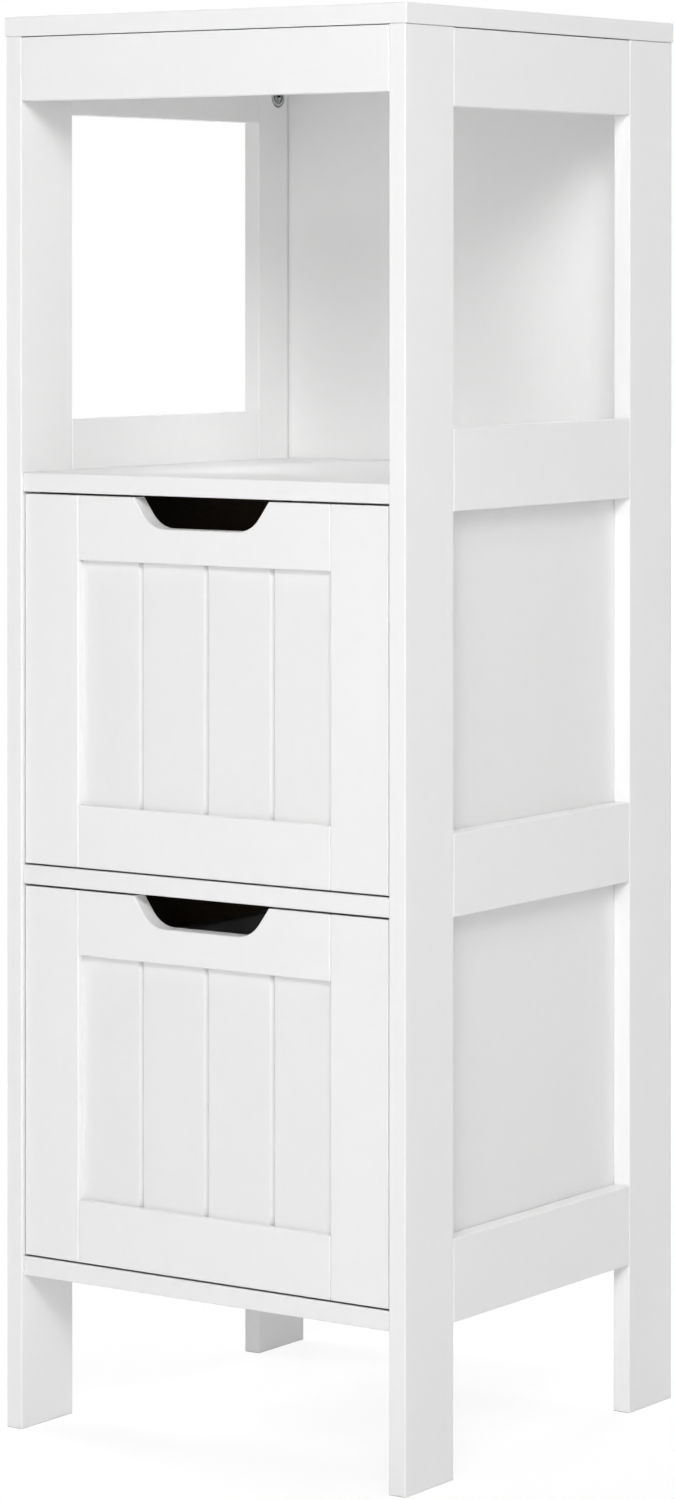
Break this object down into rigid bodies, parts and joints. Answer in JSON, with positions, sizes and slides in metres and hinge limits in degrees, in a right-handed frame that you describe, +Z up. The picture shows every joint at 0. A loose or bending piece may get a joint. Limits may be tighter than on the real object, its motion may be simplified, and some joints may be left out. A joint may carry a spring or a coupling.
{
  "type": "bathroom storage tower",
  "caption": "Narrow white free-standing storage tower with four flat legs, an open compartment at the top and inset drawers with planked fronts and finger cut-outs.",
  "frame": {"origin": "On the floor, at the middle of the outline of the top board", "axes": "+Z up, the drawer fronts face -Y, +X to the right seen from the front"},
  "size_m": [0.306, 0.308, 0.89],
  "materials": {
    "painted_boards": "white satin paint",
    "thin_panels": "white satin paint on thin board",
    "drawer_fronts": "white satin paint",
    "plank_panels": "white satin paint",
    "drawer_boxes": "white matt paint",
    "beech_dowels": "bare beech",
    "zinc_fittings": "zinc plated"
  },
  "bodies": {
    "cabinet": {"top_board": "painted_boards", "front_left_leg": "painted_boards", "front_right_leg": "painted_boards", "rear_left_leg": "painted_boards", "rear_right_leg": "painted_boards", "left_top_rail": "painted_boards", "left_shelf_rail": "painted_boards", "left_middle_rail": "painted_boards", "left_bottom_rail": "painted_boards", "right_top_rail": "painted_boards", "right_shelf_rail": "painted_boards", "right_middle_rail": "painted_boards", "right_bottom_rail": "painted_boards", "front_apron": "painted_boards", "shelf_board": "painted_boards", "divider_board": "painted_boards", "bottom_board": "painted_boards", "left_upper_panel": "thin_panels", "left_lower_panel": "thin_panels", "right_upper_panel": "thin_panels", "right_lower_panel": "thin_panels", "back_panel": "thin_panels", "cam_nuts": "zinc_fittings", "cam_bolts": "zinc_fittings", "rail_dowels": "beech_dowels", "apron_dowels": "beech_dowels", "top_dowels": "beech_dowels"},
    "upper_drawer": {"upper_drawer_left_stile": "drawer_fronts", "upper_drawer_right_stile": "drawer_fronts", "upper_drawer_top_rail": "drawer_fronts", "upper_drawer_bottom_rail": "drawer_fronts", "upper_drawer_plank_panel": "plank_panels", "upper_drawer_left_side": "drawer_boxes", "upper_drawer_right_side": "drawer_boxes", "upper_drawer_back": "drawer_boxes", "upper_drawer_base": "thin_panels", "upper_drawer_dowels": "beech_dowels", "upper_drawer_screws": "zinc_fittings"},
    "lower_drawer": {"lower_drawer_left_stile": "drawer_fronts", "lower_drawer_right_stile": "drawer_fronts", "lower_drawer_top_rail": "drawer_fronts", "lower_drawer_bottom_rail": "drawer_fronts", "lower_drawer_plank_panel": "plank_panels", "lower_drawer_left_side": "drawer_boxes", "lower_drawer_right_side": "drawer_boxes", "lower_drawer_back": "drawer_boxes", "lower_drawer_base": "thin_panels", "lower_drawer_dowels": "beech_dowels", "lower_drawer_screws": "zinc_fittings"}
  },
  "joints": [
    {"name": "upper_drawer_slide", "type": "slide", "parent": "cabinet", "child": "upper_drawer", "axis": [0, -1, 0], "range_m": [0, 0.22]},
    {"name": "lower_drawer_slide", "type": "slide", "parent": "cabinet", "child": "lower_drawer", "axis": [0, -1, 0], "range_m": [0, 0.22]}
  ]
}
